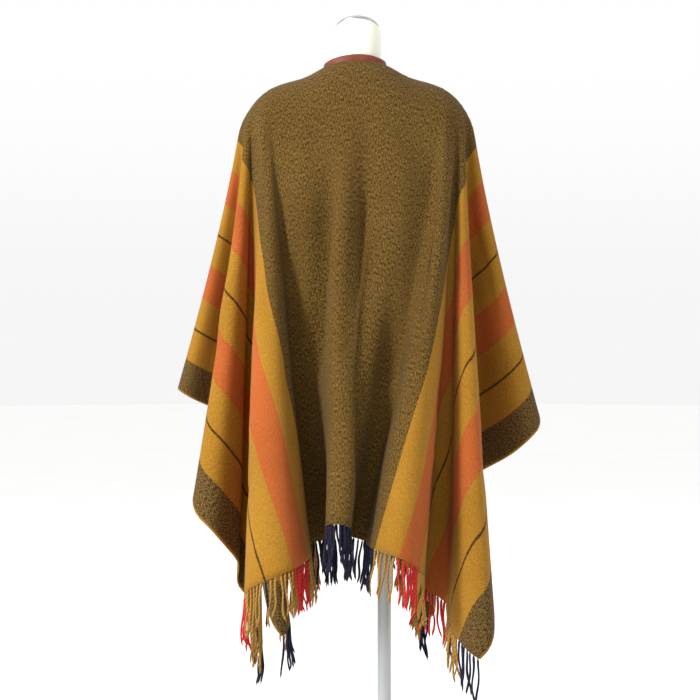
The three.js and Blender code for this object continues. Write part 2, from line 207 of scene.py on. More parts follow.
# %% The edge as one length
SIDE_LENGTH = FRONT_LENGTH + BACK_LENGTH
LEFT_FRONT = HALF_WIDTH - SLIT_HALF
LEFT_BACK = LEFT_FRONT + SIDE_LENGTH
RIGHT_BACK = LEFT_BACK + 2 * HALF_WIDTH
RIGHT_FRONT = RIGHT_BACK + SIDE_LENGTH
WHOLE_EDGE = RIGHT_FRONT + HALF_WIDTH - SLIT_HALF
# length along the edge, u and v of each end and corner
EDGE_TURNS = [
    (0, SLIT_HALF, -FRONT_LENGTH),
    (LEFT_FRONT, HALF_WIDTH, -FRONT_LENGTH),
    (LEFT_BACK, HALF_WIDTH, BACK_LENGTH),
    (RIGHT_BACK, -HALF_WIDTH, BACK_LENGTH),
    (RIGHT_FRONT, -HALF_WIDTH, -FRONT_LENGTH),
    (WHOLE_EDGE, -SLIT_HALF, -FRONT_LENGTH),
]
# A point this near to a selvedge lies on it
ON_THE_SIDE = 0.001


def run_to_edge(u, v):
    """Length along the edge to the point (u, v) of it, by which side it is on."""
    on_side = HALF_WIDTH - np.abs(u) < ON_THE_SIDE
    left = LEFT_FRONT + FRONT_LENGTH + v
    right = RIGHT_BACK + BACK_LENGTH - v
    back = LEFT_BACK + HALF_WIDTH - u
    front = np.where(u > 0, u - SLIT_HALF, RIGHT_FRONT + HALF_WIDTH + u)
    return np.where(on_side, np.where(u > 0, left, right), np.where(v > 0, back, front))


def fold_row(edge, at):
    """Flat point of one row of the fold table."""
    flat = {"left": (HALF_WIDTH, at), "right": (-HALF_WIDTH, at)}
    flat.update({"back": (at, BACK_LENGTH), "front": (at, -FRONT_LENGTH)})
    return flat[edge]


flat_folds = np.array([fold_row(edge, at) for edge, at, _, _ in FOLDS], float)
FOLD_RUN = run_to_edge(flat_folds[:, 0], flat_folds[:, 1])
CORNERS = {
    ("front", HALF_WIDTH): LEFT_FRONT,
    ("back", HALF_WIDTH): LEFT_BACK,
    ("back", -HALF_WIDTH): RIGHT_BACK,
    ("front", -HALF_WIDTH): RIGHT_FRONT,
}
for row, (edge, at, _, _) in enumerate(FOLDS):
    FOLD_RUN[row] = CORNERS.get((edge, at), FOLD_RUN[row])
FOLD_PLAN = np.array([(x, y) for _, _, x, y in FOLDS], float)
print("length of the edge:", FOLD_RUN[-1], "mm, fold lines:", len(FOLDS))

# %% [markdown]
# Seen from above, the edge is a smooth curve through the fold lines. Straight
# pieces would crease the cloth at every row of the table, so each gap is a cubic
# curve. At the tip of a fold the curve turns back: there it runs across the
# fold, and at all other rows it follows the line between its neighbours.

# %% The plan curve through the fold lines
# Two steps of length 1 that add up to less than this turn back
TURN_BACK = 1.2
# Most that a curve may swing out, as a share of the distance between two lines
PULL_LIMIT = 1.25


def fold_directions():
    """Direction of the plan curve at each fold line."""
    steps = unit(np.diff(FOLD_PLAN, axis=0))
    along = np.vstack([steps[:1], steps[:-1] + steps[1:], steps[-1:]])
    middle = (FOLD_PLAN[:-2] + FOLD_PLAN[2:]) / 2
    axis = unit(FOLD_PLAN[1:-1] - middle)
    across = np.stack([-axis[:, 1], axis[:, 0]], -1)
    onward = np.sum(across * (FOLD_PLAN[2:] - FOLD_PLAN[:-2]), -1, keepdims=True)
    across = np.where(onward > 0, across, -across)
    turns = np.linalg.norm(along[1:-1], axis=1, keepdims=True) < TURN_BACK
    along[1:-1] = np.where(turns, across, along[1:-1])
    return unit(along)


FOLD_DIRECTION = fold_directions()


def edge_plan(run):
    """Cubic curve between fold lines, which leaves each along its direction."""
    run = np.clip(run, FOLD_RUN[0], FOLD_RUN[-1])
    i = np.clip(np.searchsorted(FOLD_RUN, run, side="right") - 1, 0, len(FOLDS) - 2)
    width = FOLD_RUN[i + 1] - FOLD_RUN[i]
    f = ((run - FOLD_RUN[i]) / width)[..., None]
    span = np.linalg.norm(FOLD_PLAN[i + 1] - FOLD_PLAN[i], axis=-1)
    pull = np.minimum(width, PULL_LIMIT * span)[..., None]
    leave, arrive = pull * FOLD_DIRECTION[i], pull * FOLD_DIRECTION[i + 1]
    return cubic(f, FOLD_PLAN[i], FOLD_PLAN[i + 1], leave, arrive)


# %% [markdown]
# Now any point of the flat blanket can be carried to where it hangs. Straight
# lines of cloth leave the shoulder line, bend over it on an arc and fall, while
# the folds grow towards the edge. Each line keeps its length: what it moves
# sideways it loses in height.

# %% Drape one flat point
DRAPE_STEPS = 64
TINY = 1e-6


def drape(u, v):
    """Hanging place of the flat point (u, v): along its line from the shoulder,
    an arc gives the reach, the fold table the shift, and the rest is drop."""
    tip = np.clip(u, -SHOULDER_TIP, SHOULDER_TIP)
    length = np.hypot(u - tip, v)
    outward = np.where(length > TINY, (u - tip) / np.maximum(length, TINY), 0)
    backward = np.where(length > TINY, v / np.maximum(length, TINY), 1)
    to_side = (HALF_WIDTH - np.abs(tip)) / np.maximum(np.abs(outward), TINY)
    hem = np.where(v >= 0, BACK_LENGTH, FRONT_LENGTH)
    full = np.minimum(to_side, hem / np.maximum(np.abs(backward), TINY))
    edge = edge_plan(run_to_edge(tip + outward * full, backward * full))

    past = np.abs(tip) - BEND_START
    soft = (past + np.hypot(past, BEND_SOFTNESS)) / 2
    start_x = np.sign(tip) * (np.abs(tip) - SHOULDER_SHORTENING * soft)
    dip = np.exp(-(((np.abs(tip) - DIP_U) / DIP_SPREAD) ** 2))
    start_z = SHOULDER_Z - SHOULDER_SLOPE * soft - DIP_DEPTH * dip
    side = outward**2
    radius = np.where(backward >= 0, BEND_BACK, BEND_FRONT) * (1 - side) + BEND_TIP * side
    angle = np.arcsin(SHOULDER_SLOPE * np.abs(outward))

    def reach(s):
        return radius * (np.sin(np.minimum(angle + s / radius, np.pi / 2)) - np.sin(angle))

    full_reach = radius * (1 - np.sin(angle))
    shift_x = edge[..., 0] - start_x - full_reach * outward
    shift_y = edge[..., 1] - SHOULDER_Y - full_reach * backward
    share = np.linspace(0, 1, DRAPE_STEPS).reshape((DRAPE_STEPS,) + (1,) * np.ndim(u))
    s = share * length
    grown = np.clip((s - FOLDS_START) / (full - FOLDS_START), 0, 1) ** FOLD_GROWTH
    x = reach(s) * outward + shift_x * grown
    y = reach(s) * backward + shift_y * grown
    sideways = np.diff(x, axis=0) ** 2 + np.diff(y, axis=0) ** 2
    step = length / (DRAPE_STEPS - 1)
    drop = np.sqrt(np.maximum(step**2 - sideways, 0)).sum(0)
    nape = np.exp(-(u**2 + (v - NAPE_V) ** 2) / NAPE_SPREAD**2)
    z = start_z - drop + NAPE_RISE * nape
    return rest_on_body(start_x + x[-1], SHOULDER_Y + y[-1], z)


def rest_on_body(x, y, z):
    """Moves a point outward where it would lie inside the form's section."""
    half_width = between(REST_SECTIONS, z, 1) + REST_GAP
    half_depth = between(REST_SECTIONS, z, 2) + REST_GAP
    centre = between(REST_SECTIONS, z, 3)
    r = np.hypot(x / half_width, (y - centre) / half_depth)
    pushed = (r + 1 + np.hypot(r - 1, REST_SOFTNESS)) / 2
    amount = np.where(z < REST_TOP, np.clip((REST_FADE_TOP - z) / REST_FADE, 0, 1), 0)
    grow = 1 + (pushed / np.maximum(r, REST_CORE) - 1) * amount
    return np.stack([GARMENT_X + x * grow, centre + (y - centre) * grow, z], -1)


# %% [markdown]
# Wool of this weight also shows small creases: soft troughs from the shoulder
# blades, drag lines near the shoulder tips and short dents beside the deep
# folds. Noise would make them all alike, so each is listed, with its
# own length, width and depth. A plus sign lifts a ridge, a minus sinks a trough.
# The last two ridges hold the two sides of the left wing's tip apart.

# %% Creases and the full cloth point
# u and v where it starts, u and v where it ends, half width, height
CREASES = [
    (24, 110, -8, 760, 23, 12.0),
    (-11, 100, -42, 560, 15, -12.0),
    (-12, 205, -24, 700, 21, -27.0),
    (-48, 240, -76, 820, 21, -29.0),
    (48, 195, 102, 600, 17, -31.0),
    (76, 230, 128, 610, 17, -31.0),
    (106, 150, 196, 480, 18, 5.0),
    (206, 70, 322, 540, 29, -12.0),
    (-72, 130, -172, 560, 28, 9.0),
    (-142, 130, -262, 560, 27, -15.0),
    (-176, 600, -262, 1120, 26, 7.0),
    (104, 90, 118, 260, 15, 4.6),
    (172, 60, 262, 250, 12, 3.2),
    (-196, 100, -262, 440, 14, 4.2),
    (-236, 170, -372, 610, 15, 4.4),
    (-300, 330, -420, 760, 10, -3.6),
    (-344, 520, -372, 800, 7, 2.6),
    (-452, 590, -410, 742, 8, 3.4),
    (-486, 560, -436, 730, 7, -2.8),
    (-96, 560, -88, 850, 8, -2.6),
    (8, 520, -6, 850, 8, 2.6),
    (262, 470, 348, 812, 11, -3.2),
    (352, 500, 420, 640, 8, 2.8),
    (404, 660, 500, 742, 9, -3.0),
    (430, 700, 470, 860, 7, 2.4),
    (330, 190, 560, 330, 13, 3.6),
    (440, 110, 650, 170, 10, -3.0),
    (560, 300, 700, 420, 11, -2.8),
    (600, 560, 690, 700, 9, 2.6),
    (-330, 150, -560, 250, 13, -3.6),
    (-470, 250, -690, 470, 14, 3.4),
    (-520, 430, -640, 690, 11, -3.2),
    (-590, 60, -700, 150, 9, 2.6),
    (130, -70, 96, -560, 14, -3.6),
    (60, -120, 48, -700, 13, 4.4),
    (196, -110, 300, -600, 16, 4.6),
    (262, -200, 420, -720, 12, -3.4),
    (430, -430, 560, -800, 9, 2.8),
    (360, -60, 640, -190, 12, 3.0),
    (470, -250, 690, -420, 10, -2.6),
    (-116, -80, -84, -620, 15, -3.6),
    (-62, -160, -36, -780, 13, 4.0),
    (-196, -120, -310, -660, 14, 4.6),
    (-290, -260, -450, -790, 12, -3.2),
    (-390, -70, -650, -220, 12, 3.2),
    (-520, -330, -680, -620, 9, -2.6),
    (610, 160, 790, 232, 26, 6.0),
    (610, -66, 790, -106, 26, 6.0),
]
# A crease fades over this share of its length at each end, and sways a little
CREASE_FADE = 0.3
CREASE_SWAY, CREASE_SWAY_LENGTH = 5, 70
SLOPE_STEP = 1.5


def crease_height(u, v):
    """Sum of the creases: each is a bell across its line that fades at both ends."""
    height = np.zeros(np.shape(u))
    for u0, v0, u1, v1, half_width, lift in CREASES:
        long = math.hypot(u1 - u0, v1 - v0)
        du, dv = (u1 - u0) / long, (v1 - v0) / long
        along = (u - u0) * du + (v - v0) * dv
        sway = CREASE_SWAY * np.sin(along / CREASE_SWAY_LENGTH)
        off = (u - u0) * dv - (v - v0) * du + sway
        fade = np.clip(np.minimum(along, long - along) / (CREASE_FADE * long), 0, 1)
        fade = fade * fade * (3 - 2 * fade)
        height += lift * fade * np.exp(-((off / half_width) ** 2))
    return height


def outward_normal(u, v):
    """Cross product of the two slopes of the draped surface."""
    across = drape(u + SLOPE_STEP, v) - drape(u - SLOPE_STEP, v)
    down = drape(u, v + SLOPE_STEP) - drape(u, v - SLOPE_STEP)
    return unit(np.cross(across, down))


def cloth_point(u, v, out=0.0):
    """Middle of the draped wall with its creases, or a point out from it."""
    lift = (crease_height(u, v) + out)[..., None]
    return drape(u, v) + outward_normal(u, v) * lift


# %% [markdown]
# The shell of the blanket is a grid of lines of cloth: each starts at the
# neckline, crosses the yoke and follows a straight line to the edge. The wall
# gets its 2.5 mm from a Solidify modifier, which keeps both faces parallel.

# %% Grid of the blanket
YOKE_REACH = 118
COLUMN_STEP, LEAST_COLUMNS = 15, 5
NECK_ROWS = 14
SKIRT_ROWS, SKIRT_ROW_GROWTH = 62, 1.15


def spread_runs():
    """Places along the edge, about one step apart, with one at each fold line."""
    gaps = []
    for a, b in zip(FOLD_RUN[:-1], FOLD_RUN[1:]):
        columns = max(LEAST_COLUMNS, round((b - a) / COLUMN_STEP))
        gaps.append(np.linspace(a, b, columns, endpoint=False))
    return np.concatenate(gaps + [FOLD_RUN[-1:]])


def flat_lines(runs):
    """For each place on the edge: its neckline point, its yoke point, the
    direction of its line of cloth and the line's length."""
    edge_u = between(EDGE_TURNS, runs, 1)
    edge_v = between(EDGE_TURNS, runs, 2)
    tip = np.clip(edge_u, -SHOULDER_TIP, SHOULDER_TIP)
    full = np.hypot(edge_u - tip, edge_v)
    direction = np.stack([(edge_u - tip) / full, edge_v / full], -1)
    start = np.stack([tip, np.zeros_like(tip)], -1)
    yoke = start + direction * YOKE_REACH
    angle = np.arctan2(yoke[:, 1], yoke[:, 0])
    depth = np.where(yoke[:, 1] > 0, NECK["back"], NECK["front"])
    reach = 1 / np.hypot(np.cos(angle) / NECK["half_width"], np.sin(angle) / depth)
    neck = np.stack([NECK["u"] + reach * np.cos(angle), reach * np.sin(angle)], -1)
    return start, neck, yoke, direction, full


runs = spread_runs()
start, neck, yoke, direction, full = flat_lines(runs)
neck_share = np.linspace(0, 1, NECK_ROWS, endpoint=False)[:, None, None]
skirt_share = (np.linspace(0, 1, SKIRT_ROWS)[:, None] ** SKIRT_ROW_GROWTH)[..., None]
neck_part = neck + neck_share * (yoke - neck)
skirt_length = YOKE_REACH + (full[:, None] - YOKE_REACH) * skirt_share
skirt_part = start + direction * skirt_length
flat = np.concatenate([neck_part, skirt_part])
cloth = surface("poncho_blanket", cloth_point(flat[..., 0], flat[..., 1]), flat * MM)

wall = cloth.modifiers.new("wall", "SOLIDIFY")
wall.thickness = CLOTH_WALL * MM
wall.offset = 0
wall.use_quality_normals = True
print("grid of the blanket:", flat.shape[:2])

# %% [markdown]
# The fringe is the warp itself, twisted in pairs after weaving. It could be
# hair or curves, but a strand needs so few faces that one grid for each is
# simpler. Each strand leaves the hem along the line of cloth, then hangs down
# and sways a little. Its section has two lobes that turn, as two plies do.

# %% Twisted fringe
STRAND_SPACING, HEM_MARGIN, HEM_INSET = 9, 6, 4
STRAND_LENGTH, LENGTH_SPREAD = 88, (0.86, 1.04)
STRAND_RADIUS = 2.1
STRAND_TURNS = 5
STRAND_SIDES = 6
STRAND_RINGS = 12
ROOT_INSIDE, ROOT_LOOK_BACK = 3.0, 12
# Share of the length over which a strand still follows the cloth
FOLLOW_CLOTH = 0.55
LEAN, LEAN_GROWTH = 4.6, 1.3
GATHER, GATHER_LENGTH = 5, 17
SWAY, SWAY_HALF_WAVES = 3.8, (1.2, 2.6)
PLY_DEPTH = 0.16
# The root widens over 1/14 of the length, the cut end narrows over 1/11 of it
ROOT_END, CUT_END, END_ROUNDNESS, TAPER = 14, 11, 0.6, 0.12
STRAIGHT_DOWN = np.array([0, 0, -1.0])


def strand_spines(root, down, places, seed, t):
    """Centre lines that turn from the cloth's direction to straight down, with
    the angle at which each strand's twist starts."""
    chance = np.random.default_rng(seed)
    count = len(root)
    length = STRAND_LENGTH * chance.uniform(*LENGTH_SPREAD, (count, 1, 1))
    lean = chance.normal(0, LEAN, (count, 1, 2))
    along_hem = unit(np.gradient(root, axis=0))[:, None, :2]
    gather = GATHER * np.sin(places / GATHER_LENGTH + seed)[:, None, None] * along_hem
    start_angle = chance.uniform(0, 2 * np.pi, (count, 1))
    half_waves = chance.uniform(*SWAY_HALF_WAVES, (count, 1))
    turned = t - 0.5 * t**2
    spine = root[:, None] + length * (down[:, None] * turned * FOLLOW_CLOTH)
    spine = spine + length * STRAIGHT_DOWN * (t - FOLLOW_CLOTH * turned)
    wave = np.sin(np.pi * half_waves * t[..., 0] + start_angle)[..., None]
    spine[..., :2] += (lean + gather) * t**LEAN_GROWTH + SWAY * wave * t * np.sign(lean)
    return spine, start_angle


def strands(name, from_run, to_run, seed):
    """Tubes along the hem, narrower at the root and at the cut end."""
    count = round((to_run - from_run - HEM_MARGIN) / STRAND_SPACING)
    places = np.linspace(from_run + HEM_INSET, to_run - HEM_INSET, count)
    origin, _, _, line, long = flat_lines(places)
    hem = origin + line * long[:, None]
    above = origin + line * (long[:, None] - ROOT_LOOK_BACK)
    root = cloth_point(hem[:, 0], hem[:, 1])
    down = unit(root - cloth_point(above[:, 0], above[:, 1]))
    root = root - ROOT_INSIDE * down
    t = np.linspace(0, 1, STRAND_RINGS)[None, :, None]
    spine, start_angle = strand_spines(root, down, places, seed, t)
    angle = np.linspace(0, 2 * np.pi, STRAND_SIDES + 1)
    twist = 2 * np.pi * STRAND_TURNS * t[..., 0] + start_angle
    lobes = 1 + PLY_DEPTH * np.cos(2 * (angle[None, None] - twist[..., None]))
    ends = np.clip(np.minimum(t * ROOT_END, (1 - t) * CUT_END), 0, 1) ** END_ROUNDNESS
    thick = STRAND_RADIUS * lobes * ends * (1 - TAPER * t)
    ring = np.stack([np.cos(angle), np.sin(angle), np.zeros_like(angle)], -1)
    points = spine[:, :, None] + thick[..., None] * ring
    across = np.broadcast_to(hem[:, None, None, 0], points.shape[:-1]) * MM
    spiral = STRAND_TURNS * t[..., None, 0] + angle[None, None] / (2 * np.pi)
    place = np.stack([across, np.broadcast_to(spiral, across.shape)], -1)
    print(name, "strands:", count)
    return surface(name, points, place)


fringe_back = strands("twisted_fringe_back", LEFT_BACK, RIGHT_BACK, seed=3)
fringe_left = strands("twisted_fringe_front_left", 0, LEFT_FRONT, seed=5)
fringe_right = strands("twisted_fringe_front_right", RIGHT_FRONT, WHOLE_EDGE, seed=8)

# %% [markdown]
# The neck is bound with one strip of leather, folded over the cut edge and
# stitched through. A bevelled curve could follow the neckline, but then the
# strip would not lean with the cloth. Here a rounded profile is carried along
# the neckline: one axis points up from the edge, the other out of the cloth.

# %% Neckline path and leather binding
BINDING_TOP = 12
BINDING_FOOT = -2
BINDING_THICKNESS = 4.6
BINDING_SETTLE = 0.4
BINDING_SAMPLES, BINDING_SIDES = 260, 20
BINDING_LEAN, YOKE_STEP = 0.2, 0.1
CORNER_ROUNDNESS = 0.45
END_LENGTH = 1.5
PUCKER, PUCKER_LENGTH = 0.25, 3.4


def neckline(samples):
    """Points of the neckline, their up and out directions, and the way to each."""
    places = np.linspace(FOLD_RUN[0], FOLD_RUN[-1], samples)
    _, fine_neck, fine_yoke, _, _ = flat_lines(places)
    edge = cloth_point(fine_neck[:, 0], fine_neck[:, 1])
    lower = fine_neck + YOKE_STEP * (fine_yoke - fine_neck)
    inward = unit(edge - cloth_point(lower[:, 0], lower[:, 1]))
    step = np.cumsum(np.r_[0, np.linalg.norm(np.diff(edge, axis=0), axis=1)])
    even = np.linspace(0, step[-1], samples)
    edge = np.stack([np.interp(even, step, edge[:, k]) for k in range(3)], -1)
    inward = np.stack([np.interp(even, step, inward[:, k]) for k in range(3)], -1)
    up = unit(BINDING_LEAN * unit(inward) - STRAIGHT_DOWN)
    along = unit(np.gradient(edge, axis=0))
    return edge, up, unit(np.cross(up, along)), even


def carried(name, path, up, out, rise, depth, distance):
    """A closed profile, with its rise and depth, carried along a path."""
    points = path[:, None] + rise[..., None] * up[:, None] + depth[..., None] * out[:, None]
    around = np.linspace(0, 1, points.shape[1])
    place = np.stack(np.broadcast_arrays(distance[:, None] * MM, around[None]), -1)
    return surface(name, points, place)


def rounded(wave):
    """A cosine or sine squeezed toward the side of a rounded rectangle."""
    return np.sign(wave) * np.abs(wave) ** CORNER_ROUNDNESS


def end_share(distance, length):
    """0 at both ends of a path and 1 from the given length on."""
    return np.clip(np.minimum(distance, distance[-1] - distance) / length, 0, 1)[:, None]


path, up, out, distance = neckline(BINDING_SAMPLES)
turn = np.linspace(0, 2 * np.pi, BINDING_SIDES + 1)
wide, high = rounded(np.cos(turn)), rounded(np.sin(turn))
close = end_share(distance, END_LENGTH) ** 0.5
half = (BINDING_TOP - BINDING_FOOT) / 2
pucker = PUCKER * np.sin(distance / PUCKER_LENGTH)[:, None]
# The strip sits lower at the sides of the neck
sideways = np.clip(np.abs(path[:, 0] - GARMENT_X - NECK["u"]) / NECK["half_width"], 0, 1)
settle = 1 - BINDING_SETTLE * sideways[:, None] ** 3
rise = BINDING_FOOT + (half + half * high[None] * close) * settle
depth = (BINDING_THICKNESS / 2 + pucker * (high[None] < 0)) * wide[None] * close
binding = carried("leather_binding", path, up, out, rise, depth, distance)

# %% [markdown]
# A row of stitches is one thread that dips in and out of the leather or the
# cloth. Modelling it as one waving tube gives every stitch its rounded ends.

# %% Stitches on the binding and along the front edges
THREAD_RADIUS, THREAD_SIDES, THREAD_END = 0.45, 5, 0.6
STITCH, STITCH_LIFT = 6.5, 0.75
THREAD_OUT = 0.1
BINDING_SEAM, BINDING_SEAM_SAMPLES = 2.4, 640
EDGE_SEAM, EDGE_SEAM_SAMPLES = 10, 900
EDGE_SEAM_BELOW_NECK, EDGE_SEAM_ABOVE_HEM = 14, 6


def running_stitch(name, centre, out_direction, up_direction, distance):
    """A thin tube whose centre rises and sinks once for each stitch."""
    lift = STITCH_LIFT * np.cos(2 * np.pi * distance / STITCH)
    turn = np.linspace(0, 2 * np.pi, THREAD_SIDES + 1)
    ends = end_share(distance, THREAD_END)
    rise = THREAD_RADIUS * np.sin(turn)[None] * ends
    depth = lift[:, None] + THREAD_RADIUS * np.cos(turn)[None] * ends
    return carried(name, centre, up_direction, out_direction, rise, depth, distance)


path, up, out, distance = neckline(BINDING_SEAM_SAMPLES)
seam_line = path + up * (BINDING_FOOT + BINDING_SEAM)
seam_line = seam_line + out * (BINDING_THICKNESS / 2 + THREAD_OUT)
binding_thread = running_stitch("binding_stitches", seam_line, out, up, distance)


def front_edge_thread(name, side):
    """Stitches through the turned front edge, a little in from it."""
    top, foot = NECK["front"] + EDGE_SEAM_BELOW_NECK, FRONT_LENGTH - EDGE_SEAM_ABOVE_HEM
    v = -np.linspace(top, foot, EDGE_SEAM_SAMPLES)
    u = np.full_like(v, side * (SLIT_HALF + EDGE_SEAM))
    centre = cloth_point(u, v, out=CLOTH_WALL / 2 + THREAD_OUT)
    step = np.cumsum(np.r_[0, np.linalg.norm(np.diff(centre, axis=0), axis=1)])
    out_direction = outward_normal(u, v)
    up_direction = unit(np.cross(out_direction, np.gradient(centre, axis=0)))
    return running_stitch(name, centre, out_direction, up_direction, step)


thread_left = front_edge_thread("front_edge_stitches_left", 1)
thread_right = front_edge_thread("front_edge_stitches_right", -1)

# %% [markdown]
# The dress form is a limbless torso under a tight cream cover. It could be
# sculpted, but a torso is well described by a few level sections: half width,
# half depth and centre. A smooth curve through them gives every height.

# %% Dress form
FORM_SECTIONS = [
    (760, 140, 86, -18),
    (764, 144, 90, -18),
    (800, 148, 94, -18),
    (835, 149, 95, -18),
    (880, 144, 92, -18),
    (930, 130, 85, -17),
    (985, 115, 76, -15),
    (1030, 109, 72, -14),
    (1080, 114, 75, -16),
    (1140, 127, 83, -20),
    (1185, 140, 97, -23),
    (1220, 148, 102, -22),
    (1255, 151, 95, -15),
    (1292, 154, 84, -8),
    (1324, 154, 70, -2),
    (1348, 150, 60, 2),
    (1359.5, 139, 54, 5),
    (1368, 119, 50, 5),
    (1377, 96, 48, 5),
    (1388, 73, 45, 4),
    (1401, 52, 43, 3),
    (1414, 44, 42, 2),
    (1440, 43, 43, 2),
]
FORM_SIDES, ROWS_PER_GAP = 72, 4
NECK_TOP_Z, NECK_RADIUS, NECK_Y, NECK_TILT = 1472, 43, 2, 0.45
# Shares of the lowest row that make the two rings of the underside
FLOOR_SHARE, FLOOR_EDGE_SHARE = [1, 0, 0, 1], [1, 0.97, 0.96, 1]
# Radius and drop of the rings that close the neck
NECK_RINGS = [(NECK_RADIUS, 3), (NECK_RADIUS, 1), (NECK_RADIUS - 1, 0), (0, 0)]


def smooth_rows(table):
    """Cubic curve through the rows, with slopes from each row's neighbours."""
    rows = np.array(table, float)
    slopes = np.gradient(rows, axis=0)
    i = np.repeat(np.arange(len(rows) - 1), ROWS_PER_GAP)
    f = np.tile(np.arange(ROWS_PER_GAP) / ROWS_PER_GAP, len(rows) - 1)[:, None]
    curve = cubic(f, rows[i], rows[i + 1], slopes[i], slopes[i + 1])
    return np.vstack([curve, rows[-1:]])


def level_rings(heights, half_widths, half_depths, centres):
    """Level ellipses round the upright axis of the garment."""
    turn = np.linspace(0, 2 * np.pi, FORM_SIDES + 1)[None]
    x = GARMENT_X + half_widths[:, None] * np.cos(turn)
    y = centres[:, None] + half_depths[:, None] * np.sin(turn)
    z = heights[:, None] + 0 * turn
    return np.stack([x, y, z], -1)


def ring_place(points):
    """Place on a turned piece: share of the way round, and metres up."""
    turn = np.broadcast_to(np.linspace(0, 1, points.shape[1])[None], points.shape[:2])
    return np.stack([turn, points[..., 2] * MM], -1)


torso = smooth_rows(FORM_SECTIONS)
underside = torso[:1] * np.array([FLOOR_SHARE, FLOOR_EDGE_SHARE])
rings = level_rings(*np.vstack([underside, torso]).T)
top_radius, top_drop = np.array(NECK_RINGS, float).T
slanted = level_rings(top_drop, top_radius, top_radius, np.full(len(NECK_RINGS), NECK_Y))
slanted[..., 2] = NECK_TOP_Z - slanted[..., 2] + NECK_TILT * (slanted[..., 1] - NECK_Y)
form_points = np.concatenate([rings, slanted])
form = surface("dress_form_cover", form_points, ring_place(form_points))

# %% [markdown]
# The cap, pole, flange and base are turned metal. Each is a short profile of
# radius and height, spun round the axis, with small rounded edges that catch
# the light. The cap's profile is spun and then tilted with the neck.

# %% Neck cap and stand
CAP_FOOT = NECK_TOP_Z + 0.35
CAP_RADIUS, CAP_HEIGHT = 41, 10
CAP_DOME_RADIUS, CAP_DOME_WIDTH = 33.5, 8
POLE_RADIUS, POLE_FOOT, POLE_TOP = 12.5, 8.35, 751.3
FLANGE_RADIUS, FLANGE_FOOT, FLANGE_TOP = 40, 751.65, 759.65
BASE_RADIUS, BASE_TOP = 158, 8
# radius and height of the collar that holds the pole
COLLAR = [
    (24.5, 8), (24, 8.6), (24, 36.5), (23, 38),
    (13.4, 38), (12.9, 37), (12.9, 8.1), (0, 8.1),
]


def spun(name, profile, sides, tilt=0.0, centre=(0, 0)):
    """Profile of radius and height spun round an upright axis."""
    radius, height = np.array(profile, float).T
    turn = np.linspace(0, 2 * np.pi, sides + 1)[None]
    x = centre[0] + radius[:, None] * np.cos(turn)
    y = centre[1] + radius[:, None] * np.sin(turn)
    z = height[:, None] + tilt * (y - centre[1])
    points = np.stack(np.broadcast_arrays(x, y, z), -1)
    return surface(name, points, ring_place(points))


def rounded_disc(radius, low, high, edge):
    """Half section of a disc with quarter-round edges."""
    turn = np.linspace(0, np.pi / 2, 5)
    lower = zip(radius - edge + edge * np.sin(turn), low + edge - edge * np.cos(turn))
    upper = zip(radius - edge + edge * np.cos(turn), high - edge + edge * np.sin(turn))
    return [(0, low), *lower, *upper, (0, high)]


turn = np.linspace(0, np.pi / 2, 9)
dome_radius = CAP_DOME_RADIUS + CAP_DOME_WIDTH * np.cos(turn)
dome = zip(dome_radius, CAP_FOOT + CAP_HEIGHT * np.sin(turn))
cap_profile = [(0, CAP_FOOT), (CAP_RADIUS, CAP_FOOT), *dome, (0, CAP_FOOT + CAP_HEIGHT)]
neck_axis = (GARMENT_X, NECK_Y)
cap = spun("neck_cap_metal", cap_profile, sides=72, tilt=NECK_TILT, centre=neck_axis)
pole_profile = rounded_disc(POLE_RADIUS, POLE_FOOT, POLE_TOP, edge=0.6)
pole = spun("stand_pole_tube", pole_profile, sides=48)
flange_profile = rounded_disc(FLANGE_RADIUS, FLANGE_FOOT, FLANGE_TOP, edge=1.2)
flange = spun("pole_flange_plate", flange_profile, sides=64)
# The collar stands on the base in place of the middle of its top
base_profile = rounded_disc(BASE_RADIUS, 0, BASE_TOP, edge=2)[:-1]
base = spun("stand_base_plate", base_profile + COLLAR, sides=96)

# %% [markdown]
# Finishes are built from shader nodes. Wiring them by hand hides the idea, so
# one small class wraps a socket and lets masks and patterns be written as
# plain sums. Every other node comes from one method.

# %% Shader sums
class Value:
    """A number from a node, which can be used in sums."""

    def __init__(self, shading, socket):
        self.shading, self.socket = shading, socket

    def sum(self, operation, first, second=None):
        values = {0: first} if second is None else {0: first, 1: second}
        return self.shading.node("ShaderNodeMath", {"operation": operation}, values)

    def __add__(self, other):
        return self.sum("ADD", self, other)

    def __sub__(self, other):
        return self.sum("SUBTRACT", self, other)

    def __rsub__(self, other):
        return self.sum("SUBTRACT", other, self)

    def __mul__(self, other):
        return self.sum("MULTIPLY", self, other)

    def __truediv__(self, other):
        return self.sum("DIVIDE", self, other)

    def __pow__(self, other):
        return self.sum("POWER", self, other)

    def __abs__(self):
        return self.sum("ABSOLUTE", self)

    def sine(self):
        return self.sum("SINE", self)

    def wave(self, length):
        """A triangle that rises to 1 over the length and falls to 0 over the next."""
        return self.sum("PINGPONG", self / length, 1.0)

    __radd__ = __add__


